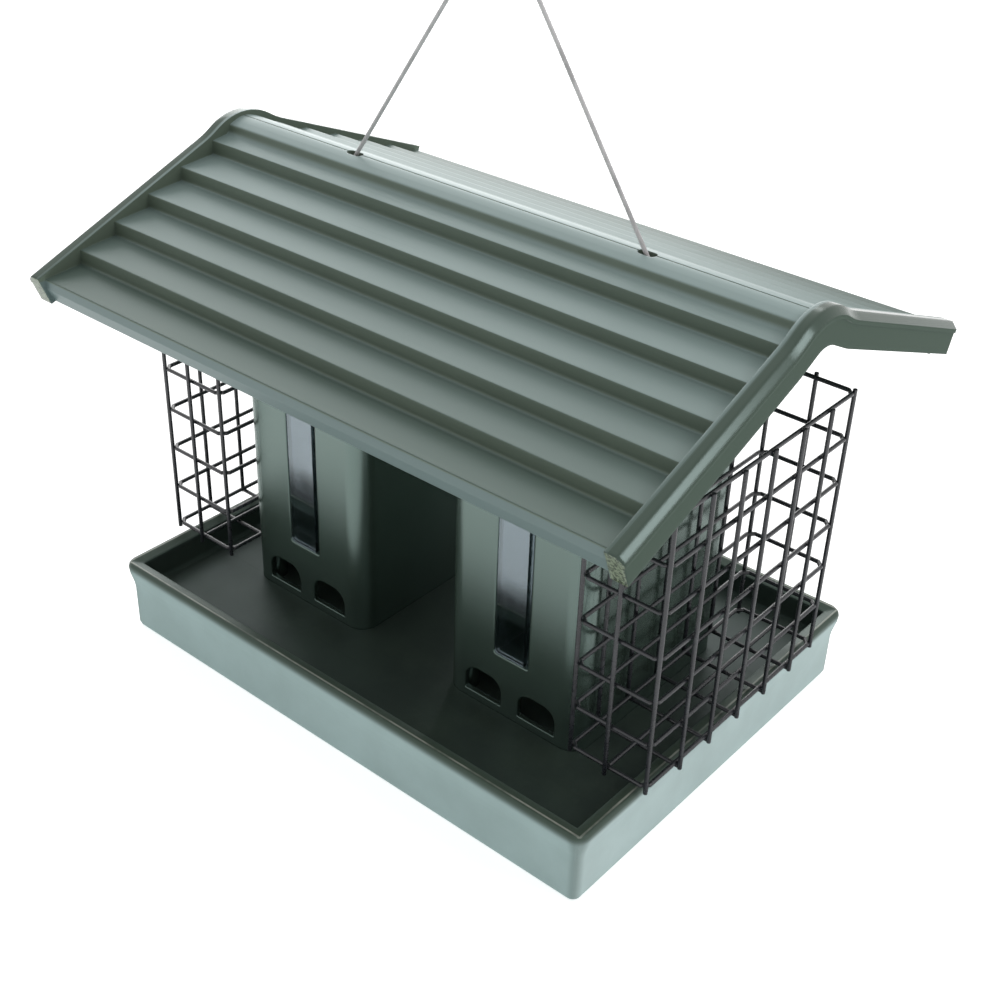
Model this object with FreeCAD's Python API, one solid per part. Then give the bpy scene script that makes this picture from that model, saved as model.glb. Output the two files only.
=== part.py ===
import FreeCAD, Part
import math
import os

Vec = FreeCAD.Vector
UP = Vec(0, 0, 1)
ALONG = Vec(1, 0, 0)
ACROSS = Vec(0, 1, 0)

# Clearances, mm
MOVING_GAP = 0.35
SEAT_GAP = 0.05
SCREW_GAP = 0.25
PANE_GAP = 0.15
CORD_GAP = 0.4

# Tray
TRAY_LENGTH = 300.0
TRAY_WIDTH = 220.0
TRAY_HEIGHT = 40.0
TRAY_CORNER = 7.0
TRAY_SKIRT_ROUND = 2.5
SKIRT_CUTS = 2
RIM_BEAD_ROUND = 2.6
BEAD_CUTS = 3
RIM_OVERHANG = 2.4
RIM_FLARE_HEIGHT = 13.0
FLARE_CUTS = 4
RIM_LEDGE = 7.6
RIM_LEDGE_FALL = 1.8
FLOOR_TOP = 26.0
FLOOR_THICK = 3.5
FLOOR_EASE = 1.2
WALL_DRAFT = 2.4
FOOT_WIDTH = 12.0
RIB_THICK = 3.0
RIB_LIFT = 2.0

# Silos: one moulding, used twice, the second turned half round
SILO_WIDTH = 80.0
SILO_DEPTH = 115.0
SILO_END_SPACE = 42.5
SILO_SPACING = TRAY_LENGTH - 2 * SILO_END_SPACE - SILO_WIDTH
SILO_SIDE = SILO_SPACING / 2 + SILO_WIDTH / 2
SILO_WALL = 3.0
SILO_EDGE = 10.0
PORT_WIDTH = 22.0
PORT_HEIGHT = 14.5
PORT_SILL = 4.5
PORT_SPACING = 32.0
PORT_ARCH = 7.5
WINDOW_WIDTH = 20.4
WINDOW_BOTTOM = 60.0
WINDOW_CORNER = 1.5
PANE_THICK = 1.5
PANE_INSET = 0.5
PANE_STRIP = 3.2
PANE_LAP = 2.0
RAIL_THICK = 2.6
RAIL_LIP = 1.5
PANE_TOP = 206.0
BOSS_RADIUS = 5.0
BOSS_INSET = 8.5
BOSS_HEIGHT = 14.0
PILOT_RUNOUT = 1.0

# Silo screws
SCREW_RADIUS = 1.75
SCREW_LENGTH = 14.0
SCREW_HEAD_RADIUS = 3.5
SCREW_HEAD_HEIGHT = 2.6
SCREW_POINT = 1.0

# Roof
ROOF_OVERHANG = 20.0
ROOF_LENGTH = TRAY_LENGTH + 2 * ROOF_OVERHANG
ROOF_SHELL = 3.0
STEP_COUNT = 6
STEP_RUN = 20.7
STEP_DROP = 8.1
STEP_RISER = 6.6
STEP_LEAN = 0.3
STEP_FOOT_ROUND = 1.2
TOP_NOSE_Y = 21.0
TOP_NOSE_Z = 240.0
CAP_HALF = 9.6
CAP_SHOULDER_Z = 245.4
CAP_APEX_Z = 249.0
CAP_ROUND = 16.0
CAP_INNER_ROUND = 12.0
CAP_SHOULDER_ROUND = 1.6
CAP_FOOT_RISE = 1.4
CAP_FOOT_SPREAD = 0.8
CAP_FOOT_ROUND = 3.2
CAP_GROOVE = 0.6
EAVE_RISER = 4.9
EAVE_LIP_BACK = 4.6
EAVE_LIP_FALL = 8.0
EAVE_LIP_THICK = 3.2
EAVE_LEAN = 0.2
EAVE_ROUND = 1.2
LIP_ROUND = 0.8
RIM_WIDTH = 8.5
RIM_DEPTH = 15.0
RIM_SLOPE = 0.39
RIM_END_Y = 128.3
RIM_END_Z = 200.5
RIM_KNEE_Y = 22.0
RIM_UNDER_KNEE_SHIFT = 4.0
RIM_HUMP_SLOPE = 0.62
RIM_HUMP_ROUND = 32.0
RIM_KNEE_ROUND = 45.0
RIM_UNDER_HUMP_SLOPE = 0.5
RIM_UNDER_HUMP_ROUND = 14.0
BEAD_DEPTH = 4.8
BEAD_PROUD = 0.6
BEAD_ROLL = 3.0
CORD_HOLE_LENGTH = 9.0
CORD_HOLE_WIDTH = 4.6

# Suet cages, welded from wire
WIRE_RADIUS = 1.0
BAR_SIDES = 8
CAGE_PITCH = 23.0
CAGE_BAYS = 6
CAGE_STANDOFF = 2.6
CAGE_DEPTH = 45.0
CAGE_NEAR = SILO_SIDE + CAGE_STANDOFF
CAGE_FAR = CAGE_NEAR + CAGE_DEPTH
CAGE_BOTTOM = 44.0
CAGE_FOOT = 3.0
CAGE_HEAD = 1.5
CAGE_CORNER = 5.0

# Cage hooks and nuts
HOOK_RADIUS = 1.5
HOOK_SPACING = 69.0
HOOK_TIP = 5.0
HOOK_BEND = 3.0
HOOK_TAIL = 1.5
HOOK_FLANGE_RADIUS = 3.4
HOOK_FLANGE_THICK = 1.0
NUT_ACROSS = 5.5
NUT_THICK = 2.4

# Hanging cord
CORD_RADIUS = 1.0
CORD_SETBACK = 21.5
CORD_FOOT_X = SILO_SIDE - CORD_SETBACK
CORD_FOOT_Z = 243.5
CORD_APEX_Z = 364.0
CORD_BIGHT = 7.0
KNOT_RADIUS = 3.0
KNOT_FLAT = 2.5
KNOT_EASE = 1.1


def outline(corners, place):
    """Closed wire of straight runs and tangent arcs; each corner is (u, v, radius)."""
    starts = []
    ends = []
    mids = []
    count = len(corners)
    for index in range(count):
        here = Vec(corners[index][0], corners[index][1], 0)
        back = Vec(corners[index - 1][0], corners[index - 1][1], 0) - here
        ahead_corner = corners[(index + 1) % count]
        ahead = Vec(ahead_corner[0], ahead_corner[1], 0) - here
        radius = corners[index][2]
        back.normalize()
        ahead.normalize()
        half = 0.5 * math.acos(max(-1.0, min(1.0, back.dot(ahead))))
        reach = radius / math.tan(half)
        starts.append(here + back * reach)
        ends.append(here + ahead * reach)
        inward = back + ahead
        if radius > 0:
            inward.normalize()
        mids.append(here + inward * (radius / math.sin(half) - radius))
    edges = []
    for index in range(count):
        run_start = place(ends[index - 1])
        run_end = place(starts[index])
        if (run_end - run_start).Length > 1e-6:
            edges.append(Part.LineSegment(run_start, run_end).toShape())
        if corners[index][2] > 0:
            arc = Part.Arc(run_end, place(mids[index]), place(ends[index]))
            edges.append(arc.toShape())
    return Part.Wire(edges)


def on_level(height):
    return lambda point: Vec(point.x, point.y, height)


def on_front(depth):
    return lambda point: Vec(point.x, depth, point.y)


def on_gable(distance):
    return lambda point: Vec(distance, point.x, point.y)


def rectangle(length, width, radius):
    half_length = length / 2
    half_width = width / 2
    return [(-half_length, -half_width, radius), (half_length, -half_width, radius),
            (half_length, half_width, radius), (-half_length, half_width, radius)]


def slab(corners, place, travel):
    return Part.Face(outline(corners, place)).extrude(travel)


def box_between(low, high):
    size = Vec(*high) - Vec(*low)
    return Part.makeBox(size.x, size.y, size.z, Vec(*low))


def rod(start, end, radius):
    return Part.makeCylinder(radius, (end - start).Length, start, end - start)


def bar_reach(radius):
    """Corner distance of an even-sided section with a circle's area."""
    return radius * math.sqrt(2 * math.pi / (BAR_SIDES * math.sin(2 * math.pi / BAR_SIDES)))


def polygon(radius, centre, along, across):
    """Closed even-sided outline of a drawn bar, its flats facing across, with a circle's area."""
    side = across.cross(along)
    side.normalize()
    reach = bar_reach(radius)
    corners = []
    for index in range(BAR_SIDES + 1):
        angle = 2 * math.pi * (index + 0.5) / BAR_SIDES
        corners.append(centre + across * (reach * math.cos(angle)) + side * (reach * math.sin(angle)))
    return Part.makePolygon(corners)


def bar(points, radius, across):
    """Bar of few flats along a run of points that lies square to the across direction."""
    section = polygon(radius, points[0], points[1] - points[0], across)
    if len(points) == 2:
        return Part.Face(section).extrude(points[1] - points[0])
    return Part.makePolygon(points).makePipeShell([section], True, False, 1)


def eased_corner(back, corner, ahead, radius):
    """Two points of the flat that touches a corner's arc in its middle."""
    trim = radius * (1 - math.tan(math.pi / 8))
    toward_back = back - corner
    toward_ahead = ahead - corner
    toward_back.normalize()
    toward_ahead.normalize()
    return [corner + toward_back * trim, corner + toward_ahead * trim]


def half_turn(shape):
    turned = shape.copy()
    turned.rotate(Vec(0, 0, 0), UP, 180)
    return turned


def moved(shape, shift):
    copy = shape.copy()
    copy.translate(shift)
    return copy


def save(name, shapes):
    shape = shapes[0] if len(shapes) == 1 else Part.makeCompound(shapes)
    shape.exportStep("parts/" + name + ".step")


def edges_where(shape, test):
    return [edge for edge in shape.Edges if test(edge.BoundBox)]


# Roof levels shared with the silos below
def nose(step):
    return TOP_NOSE_Y + STEP_RUN * step, TOP_NOSE_Z - STEP_DROP * step


def inner_step_level(across):
    """Height of the line through the lowest inside edges of the roof steps."""
    foot_y = TOP_NOSE_Y + STEP_LEAN - ROOF_SHELL
    foot_z = TOP_NOSE_Z - STEP_RISER - ROOF_SHELL
    return foot_z - (across - foot_y) * STEP_DROP / STEP_RUN


def silo_top_level(across):
    return inner_step_level(across) - MOVING_GAP / math.cos(math.atan(STEP_DROP / STEP_RUN))


def boss_places():
    away_x = SILO_WIDTH / 2 - BOSS_INSET
    away_y = SILO_DEPTH / 2 - BOSS_INSET
    return [Vec(away_x, away_y, 0), Vec(-away_x, -away_y, 0)]


def silo_shift(side):
    return Vec(side * SILO_SPACING / 2, 0, 0)


def stack(length, width, corner, levels):
    """Solid through rounded rectangles, each level given as (height, inset)."""
    sections = []
    for height, inset in levels:
        corners = rectangle(length - 2 * inset, width - 2 * inset, max(corner - inset, 0))
        sections.append(outline(corners, on_level(height)))
    return Part.makeLoft(sections, True, True)


def quarter_round(radius, cuts):
    """Flats of a convex quarter round, as (distance along, inset) from its flat end to its side."""
    turns = [math.pi / 2 * index / cuts for index in range(cuts + 1)]
    return [(radius * (1 - math.cos(turn)), radius * (1 - math.sin(turn))) for turn in turns]


def rim_flare():
    """Levels of the soft curve by which the skirt swings out to the rim, as (height, inset)."""
    top = TRAY_HEIGHT - RIM_BEAD_ROUND
    levels = []
    for index in range(FLARE_CUTS):
        turn = math.pi * index / FLARE_CUTS
        levels.append((top - RIM_FLARE_HEIGHT * (1 - turn / math.pi), RIM_OVERHANG * (1 + math.cos(turn)) / 2))
    return levels


def make_tray():
    skirt = [(height, inset + RIM_OVERHANG) for height, inset in quarter_round(TRAY_SKIRT_ROUND, SKIRT_CUTS)]
    crown = [(TRAY_HEIGHT - height, inset) for height, inset in quarter_round(RIM_BEAD_ROUND, BEAD_CUTS)]
    tray = stack(TRAY_LENGTH, TRAY_WIDTH, TRAY_CORNER, skirt + rim_flare() + crown[::-1])

    # Ledge inside the bead falls towards the floor and mitres at the corners
    well_length = TRAY_LENGTH - 2 * RIM_LEDGE
    well_width = TRAY_WIDTH - 2 * RIM_LEDGE
    ledge_low = TRAY_HEIGHT - RIM_LEDGE_FALL
    widen = 2 * (RIM_LEDGE - RIM_BEAD_ROUND)
    slope_low = outline(rectangle(well_length, well_width, 0), on_level(ledge_low))
    slope_high = outline(rectangle(well_length + widen, well_width + widen, 0), on_level(TRAY_HEIGHT))
    tray = tray.cut(Part.makeLoft([slope_low, slope_high], True, True))

    # Well with drafted walls that meet in sharp corners, and an eased floor edge
    floor = [(FLOOR_TOP, WALL_DRAFT + FLOOR_EASE), (FLOOR_TOP + FLOOR_EASE, WALL_DRAFT)]
    tray = tray.cut(stack(well_length, well_width, 0, floor + [(ledge_low, 0)]))

    # Hollow underside with crossing ribs
    foot = RIM_OVERHANG + TRAY_SKIRT_ROUND + FOOT_WIDTH
    hollow_length = TRAY_LENGTH - 2 * foot
    hollow_width = TRAY_WIDTH - 2 * foot
    hollow_top = FLOOR_TOP - FLOOR_THICK
    hollow = slab(rectangle(hollow_length, hollow_width, TRAY_CORNER), on_level(0), UP * hollow_top)
    ribs = [box_between((-hollow_length / 2, -RIB_THICK / 2, RIB_LIFT),
                        (hollow_length / 2, RIB_THICK / 2, hollow_top))]
    for across in (-SILO_SPACING / 2, 0, SILO_SPACING / 2):
        ribs.append(box_between((across - RIB_THICK / 2, -hollow_width / 2, RIB_LIFT),
                                (across + RIB_THICK / 2, hollow_width / 2, hollow_top)))
    tray = tray.cut(hollow.cut(Part.makeCompound(ribs)))
    holes = []
    for side in (-1, 1):
        for spot in boss_places():
            base = spot + silo_shift(side)
            holes.append(bar([base, base + UP * FLOOR_TOP], SCREW_RADIUS + SCREW_GAP, ALONG))
    return tray.cut(Part.makeCompound(holes)).removeSplitter()


def gable_prism(half_span, level, bottom, length):
    """Upright prism under a gable line, running along the ridge."""
    corners = [(-half_span, bottom, 0), (half_span, bottom, 0), (half_span, level(half_span), 0),
               (0, level(0), 0), (-half_span, level(half_span), 0)]
    return slab(corners, on_gable(-length / 2), ALONG * length)


def front_openings():
    """Seed ports and the window slot, open at its top, for the front wall."""
    front = -SILO_DEPTH / 2
    reach = ACROSS * (2 * SILO_WALL)
    start = on_front(front - SILO_WALL / 2)
    sill = FLOOR_TOP + PORT_SILL
    cutters = []
    for centre in (-PORT_SPACING / 2, PORT_SPACING / 2):
        half = PORT_WIDTH / 2
        arch = [(centre - half, sill, 0), (centre + half, sill, 0),
                (centre + half, sill + PORT_HEIGHT, PORT_ARCH), (centre - half, sill + PORT_HEIGHT, PORT_ARCH)]
        cutters.append(slab(arch, start, reach))
    half = WINDOW_WIDTH / 2
    frame = [(-half, WINDOW_BOTTOM, WINDOW_CORNER), (half, WINDOW_BOTTOM, WINDOW_CORNER),
             (half, TOP_NOSE_Z, 0), (-half, TOP_NOSE_Z, 0)]
    cutters.append(slab(frame, start, reach))
    return cutters


def pane_span():
    half = WINDOW_WIDTH / 2
    return -half - PANE_LAP, half + PANE_LAP


def front_rails():
    """Two lipped rails and a bottom stop that hold the pane inside the front wall."""
    inner = -SILO_DEPTH / 2 + SILO_WALL
    low_x, high_x = pane_span()
    groove = PANE_THICK + 2 * PANE_GAP
    back = inner + groove + RAIL_LIP
    stop_top = WINDOW_BOTTOM - PANE_LAP
    low_z = stop_top - RAIL_THICK
    block = box_between((low_x - PANE_GAP - RAIL_THICK, inner - 0.5, low_z),
                        (high_x + PANE_GAP + RAIL_THICK, back, PANE_TOP))
    slide = box_between((low_x - PANE_GAP, inner - 1, stop_top),
                        (high_x + PANE_GAP, inner + groove, PANE_TOP + 1))
    view = box_between((low_x + PANE_LAP, inner - 1, stop_top),
                       (high_x - PANE_LAP, back + 1, PANE_TOP + 1))
    return block.cut(slide).cut(view)


def cord_direction():
    """Unit direction of the right half of the cord, downwards and outwards."""
    foot = Vec(CORD_FOOT_X, 0, CORD_FOOT_Z)
    centre = Vec(0, 0, CORD_APEX_Z - CORD_BIGHT)
    span = foot - centre
    lean = math.atan2(span.x, -span.z) - math.asin(CORD_BIGHT / span.Length)
    return Vec(math.sin(lean), 0, -math.cos(lean))


def cord_point(outward):
    """Point of the right half of the cord at a given distance from the ridge middle."""
    along = cord_direction()
    foot = Vec(CORD_FOOT_X, 0, CORD_FOOT_Z)
    return foot + along * ((outward - foot.x) / along.x)


def hook_height():
    return CAGE_BOTTOM + CAGE_PITCH * CAGE_BAYS - WIRE_RADIUS - HOOK_RADIUS - MOVING_GAP


def make_silo():
    """Silo about its own middle, with the cage side towards +X."""
    tall = TOP_NOSE_Z
    shell = slab(rectangle(SILO_WIDTH, SILO_DEPTH, SILO_EDGE), on_level(FLOOR_TOP), UP * (tall - FLOOR_TOP))
    bore = slab(rectangle(SILO_WIDTH - 2 * SILO_WALL, SILO_DEPTH - 2 * SILO_WALL, SILO_EDGE - SILO_WALL),
                on_level(FLOOR_TOP), UP * (tall - FLOOR_TOP))
    silo = shell.cut(bore)
    posts = []
    for spot in boss_places():
        posts.append(Part.makeCylinder(BOSS_RADIUS, BOSS_HEIGHT, spot + UP * FLOOR_TOP, UP))
    rails = front_rails()
    silo = silo.fuse([post.common(shell) for post in posts] + [rails, half_turn(rails)])
    silo = silo.common(gable_prism(SILO_DEPTH, silo_top_level, FLOOR_TOP, SILO_WIDTH * 2))
    openings = front_openings()
    cutters = openings + [half_turn(shape) for shape in openings]
    for spot in boss_places():
        depth = SCREW_LENGTH - FLOOR_THICK + PILOT_RUNOUT
        start = spot + UP * FLOOR_TOP
        cutters.append(bar([start, start + UP * depth], SCREW_RADIUS + SEAT_GAP, ALONG))
    wall_x = SILO_WIDTH / 2
    for across in (-HOOK_SPACING / 2, HOOK_SPACING / 2):
        start = Vec(wall_x - 2 * SILO_WALL, across, hook_height())
        cutters.append(bar([start, start + ALONG * (3 * SILO_WALL)], HOOK_RADIUS + SCREW_GAP, UP))
    middle = cord_point(SILO_SIDE - SILO_WALL / 2) - silo_shift(1)
    along = cord_direction() * (4 * SILO_WALL)
    cutters.append(bar([middle - along, middle + along], CORD_RADIUS + CORD_GAP, ACROSS))
    return silo.cut(Part.makeCompound(cutters)).removeSplitter()


def make_pane():
    """Clear pane with a raised face that runs in the window slot and leaves a strip free beside it."""
    outer = -SILO_DEPTH / 2
    inner = outer + SILO_WALL + PANE_GAP
    low_x, high_x = pane_span()
    base = WINDOW_BOTTOM - PANE_LAP + SEAT_GAP
    sheet = box_between((low_x, inner, base), (high_x, inner + PANE_THICK, PANE_TOP))
    face_low = low_x + PANE_LAP + PANE_GAP
    face_high = high_x - PANE_LAP - PANE_STRIP
    face_base = WINDOW_BOTTOM + PANE_GAP
    corners = [(face_low, face_base, WINDOW_CORNER), (face_high, face_base, 0),
               (face_high, PANE_TOP, 0), (face_low, PANE_TOP, 0)]
    depth = inner + PANE_THICK / 2 - outer - PANE_INSET
    face = slab(corners, on_front(outer + PANE_INSET), ACROSS * depth)
    return sheet.fuse(face).removeSplitter()


def make_screw():
    """Pan-head screw pointing up, head seat at the origin."""
    seat = Vec(0, 0, 0)
    crown = -SCREW_HEAD_HEIGHT
    head = bar([seat, Vec(0, 0, crown)], SCREW_HEAD_RADIUS, ALONG)
    head = head.makeChamfer(SCREW_HEAD_HEIGHT / 2, edges_where(head, lambda box: box.ZMax < crown + 0.01))
    shank = bar([seat, Vec(0, 0, SCREW_LENGTH)], SCREW_RADIUS, ALONG)
    shank = shank.makeChamfer(SCREW_POINT, edges_where(shank, lambda box: box.ZMin > SCREW_LENGTH - 0.01))
    return head.fuse(shank).removeSplitter()


def make_hook(across):
    """Bent hook through the cage-side wall of the right silo, tip upwards."""
    level = hook_height()
    tip_x = CAGE_NEAR + 3 * WIRE_RADIUS + SEAT_GAP + MOVING_GAP + HOOK_RADIUS
    tail = Vec(SILO_SIDE - SILO_WALL - NUT_THICK - HOOK_TAIL, across, level)
    tip = Vec(tip_x, across, level + HOOK_RADIUS + 2 * WIRE_RADIUS + HOOK_TIP)
    points = [tail] + eased_corner(tail, Vec(tip_x, across, level), tip, HOOK_BEND) + [tip]
    shoulder = Vec(SILO_SIDE, across, level)
    flange = bar([shoulder, shoulder + ALONG * HOOK_FLANGE_THICK], HOOK_FLANGE_RADIUS, UP)
    return bar(points, HOOK_RADIUS, ACROSS).fuse(flange).removeSplitter()


def make_nut(across):
    inner = SILO_SIDE - SILO_WALL
    level = hook_height()
    reach = NUT_ACROSS / math.sqrt(3)
    corners = []
    for index in range(6):
        angle = math.radians(60 * index)
        corners.append((across + reach * math.cos(angle), level + reach * math.sin(angle), 0))
    nut = slab(corners, on_gable(inner - NUT_THICK), ALONG * NUT_THICK)
    start = Vec(inner - 2 * NUT_THICK, across, level)
    return nut.cut(bar([start, start + ALONG * (3 * NUT_THICK)], HOOK_RADIUS + SEAT_GAP, ACROSS))


def half_profile():
    """Outer corners of the roof section from the ridge to the eave nose, for y above zero."""
    points = [(CAP_HALF, CAP_SHOULDER_Z, CAP_SHOULDER_ROUND),
              (CAP_HALF + CAP_FOOT_SPREAD, TOP_NOSE_Z + CAP_FOOT_RISE, CAP_FOOT_ROUND)]
    for step in range(STEP_COUNT):
        nose_y, nose_z = nose(step)
        points.append((nose_y, nose_z, 0))
        if step < STEP_COUNT - 1:
            points.append((nose_y + STEP_LEAN, nose_z - STEP_RISER, STEP_FOOT_ROUND))
    return points


def roof_section():
    """Closed section of the stepped shell, constant thickness, with hanging eave lips."""
    outer = half_profile()
    eave_y, eave_z = nose(STEP_COUNT - 1)
    riser_z = eave_z - EAVE_RISER
    lip_y = eave_y - EAVE_LIP_BACK
    lip_z = riser_z - EAVE_LIP_FALL
    lip_back = lip_y - EAVE_LIP_THICK
    lip = [(eave_y - EAVE_LEAN, riser_z, EAVE_ROUND), (lip_y, lip_z, EAVE_ROUND),
           (lip_back, lip_z, LIP_ROUND), (lip_back, eave_z - ROOF_SHELL, LIP_ROUND)]
    inner = [(y - ROOF_SHELL, z - ROOF_SHELL, 0) for y, z, radius in outer[:-1]]
    right = outer + lip + inner[::-1]
    inner_apex = [(0, CAP_APEX_Z - ROOF_SHELL, CAP_INNER_ROUND)]
    left = [(-y, z, radius) for y, z, radius in right[::-1]]
    return [(0, CAP_APEX_Z, CAP_ROUND)] + right + inner_apex + left


def gable_line(depth):
    """Right half of a line parallel to the gable rim top, a given depth below it: end, knee, apex."""
    tilt = math.atan(RIM_SLOPE)
    share = depth / RIM_DEPTH
    end_y = RIM_END_Y - depth * math.sin(tilt)
    end_z = RIM_END_Z - depth * math.cos(tilt)
    knee_y = RIM_KNEE_Y - RIM_UNDER_KNEE_SHIFT * share
    knee_z = RIM_END_Z + RIM_SLOPE * (RIM_END_Y - knee_y) - depth / math.cos(tilt)
    hump_slope = RIM_HUMP_SLOPE + (RIM_UNDER_HUMP_SLOPE - RIM_HUMP_SLOPE) * share
    hump_round = RIM_HUMP_ROUND + (RIM_UNDER_HUMP_ROUND - RIM_HUMP_ROUND) * share
    return (end_y, end_z), (knee_y, knee_z, RIM_KNEE_ROUND), (0, knee_z + knee_y * hump_slope, hump_round)


def gable_band(depth_low, depth_high, near, far):
    """Solid band along one gable between two depths below the rim top."""
    low_end, low_knee, low_apex = gable_line(depth_high)
    end, knee, apex = gable_line(depth_low)
    corners = [(low_end[0], low_end[1], 0), (end[0], end[1], 0), knee, apex,
               (-knee[0], knee[1], knee[2]), (-end[0], end[1], 0), (-low_end[0], low_end[1], 0),
               (-low_knee[0], low_knee[1], low_knee[2]), low_apex, low_knee]
    return slab(corners, on_gable(near), ALONG * (far - near))


def gable_level(depth, across):
    """Height of such a line above a given distance from the ridge."""
    end, knee, apex = gable_line(depth)
    slope = (apex[1] - knee[1]) / knee[0]
    if across < 0.001:
        return apex[1] - apex[2] * (math.hypot(1, slope) - 1)
    if across < knee[0]:
        return apex[1] - slope * across
    return end[1] + RIM_SLOPE * (end[0] - across)


def rolled_bead(side, inside, outside):
    """Bead along the top of a gable rim, rolled over at its outer top edge."""
    near, far = sorted((side * inside, side * outside))
    bead = gable_band(0, BEAD_DEPTH, near, far)
    crest = []
    for edge in bead.Edges:
        middle = edge.valueAt((edge.FirstParameter + edge.LastParameter) / 2)
        lies_outside = edge.BoundBox.XLength < 0.01 and abs(middle.x - side * outside) < 0.01
        if lies_outside and abs(middle.z - gable_level(0, abs(middle.y))) < BEAD_DEPTH / 4:
            crest.append(edge)
    return bead.makeChamfer(BEAD_ROLL, crest)


def make_roof():
    half = ROOF_LENGTH / 2
    fascia = half - BEAD_PROUD
    inside = half - RIM_WIDTH
    reach = inside + RIM_WIDTH / 4
    shell = slab(roof_section(), on_gable(-reach), ALONG * (2 * reach))
    crest = cap_crest()
    notch = [(-CAP_GROOVE, crest + CAP_GROOVE, 0), (0, crest - CAP_GROOVE, 0),
             (CAP_GROOVE, crest + CAP_GROOVE, 0)]
    groove = slab(notch, on_gable(-inside), ALONG * (2 * inside))
    shell = shell.cut(groove)
    rims = []
    for side in (-1, 1):
        near, far = sorted((side * inside, side * fascia))
        rims.append(gable_band(3 * BEAD_DEPTH / 4, RIM_DEPTH, near, far))
        rims.append(rolled_bead(side, inside, half))
    roof = shell.fuse(rims)
    along = cord_direction()
    passage = CORD_FOOT_X + along.x / along.z * (crest - ROOF_SHELL / 2 - CORD_FOOT_Z)
    for side in (-1, 1):
        corners = rectangle(CORD_HOLE_LENGTH, CORD_HOLE_WIDTH, CORD_HOLE_WIDTH / 2 - 0.01)
        hole = slab(corners, on_level(crest - 4 * ROOF_SHELL), UP * (8 * ROOF_SHELL))
        roof = roof.cut(moved(hole, Vec(side * passage, 0, 0)))
    return roof.removeSplitter()


def cap_crest():
    """Height of the rounded ridge crest."""
    slope = (CAP_APEX_Z - CAP_SHOULDER_Z) / CAP_HALF
    half = math.pi / 2 - math.atan(slope)
    return CAP_APEX_Z - CAP_ROUND * (1 / math.sin(half) - 1)


def make_cord_loop():
    """Cord above the roof: up from one ridge hole, over the bight and down to the other."""
    along = cord_direction()
    foot = Vec(CORD_FOOT_X, 0, CORD_FOOT_Z)
    centre = Vec(0, 0, CORD_APEX_Z - CORD_BIGHT)
    touch = centre + Vec(-along.z, 0, along.x) * CORD_BIGHT
    mirror = Vec(-touch.x, 0, touch.z)
    path = Part.Wire([
        Part.LineSegment(Vec(-foot.x, 0, foot.z), mirror).toShape(),
        Part.Arc(mirror, Vec(0, 0, CORD_APEX_Z), touch).toShape(),
        Part.LineSegment(touch, foot).toShape()])
    start = Vec(-foot.x, 0, foot.z)
    section = Part.Wire(Part.makeCircle(CORD_RADIUS, start, mirror - start))
    cord = path.makePipeShell([section], True, False)
    print("cord loop", round(path.Length, 1), round(cord.Volume / (math.pi * CORD_RADIUS ** 2), 1), CORD_BIGHT)
    return cord


def knot_centre():
    along = cord_direction()
    standoff = bar_reach(KNOT_RADIUS) * -along.z + (KNOT_FLAT - KNOT_EASE) * along.x
    return cord_point(SILO_SIDE + standoff + SEAT_GAP)


def make_cord_end():
    """Straight cord end below the roof, from the ridge hole to the knot."""
    foot = Vec(CORD_FOOT_X, 0, CORD_FOOT_Z)
    last = knot_centre() - cord_direction() * KNOT_FLAT
    return rod(foot, last, CORD_RADIUS)


def make_knot():
    """Stopper knot, flat where the cord enters it."""
    centre = knot_centre()
    along = cord_direction()
    half = along * KNOT_FLAT
    knot = bar([centre - half, centre + half], KNOT_RADIUS, ACROSS)
    ends = [edge for edge in knot.Edges if abs(edge.tangentAt(edge.FirstParameter).dot(along)) < 0.5]
    return knot.makeChamfer(KNOT_EASE, ends)


def wire_row(side, face, level):
    """Short horizontal run of a cage hoop with both rounded corners, on the front or back face."""
    hoop = 2 * WIRE_RADIUS + SEAT_GAP
    near = CAGE_NEAR + hoop
    far = CAGE_FAR - hoop
    depth = face * CAGE_PITCH * CAGE_BAYS / 2
    turn_y = depth - face * CAGE_CORNER
    start = Vec(side * near, turn_y, level)
    near_corner = Vec(side * near, depth, level)
    far_corner = Vec(side * far, depth, level)
    end = Vec(side * far, turn_y, level)
    points = [start] + eased_corner(start, near_corner, far_corner, CAGE_CORNER)
    points += eased_corner(near_corner, far_corner, end, CAGE_CORNER) + [end]
    return bar(points, WIRE_RADIUS, UP)


def upright(x, y):
    top = CAGE_BOTTOM + CAGE_PITCH * CAGE_BAYS + CAGE_HEAD
    return bar([Vec(x, y, CAGE_BOTTOM - CAGE_FOOT), Vec(x, y, top)], WIRE_RADIUS, ALONG)


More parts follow.
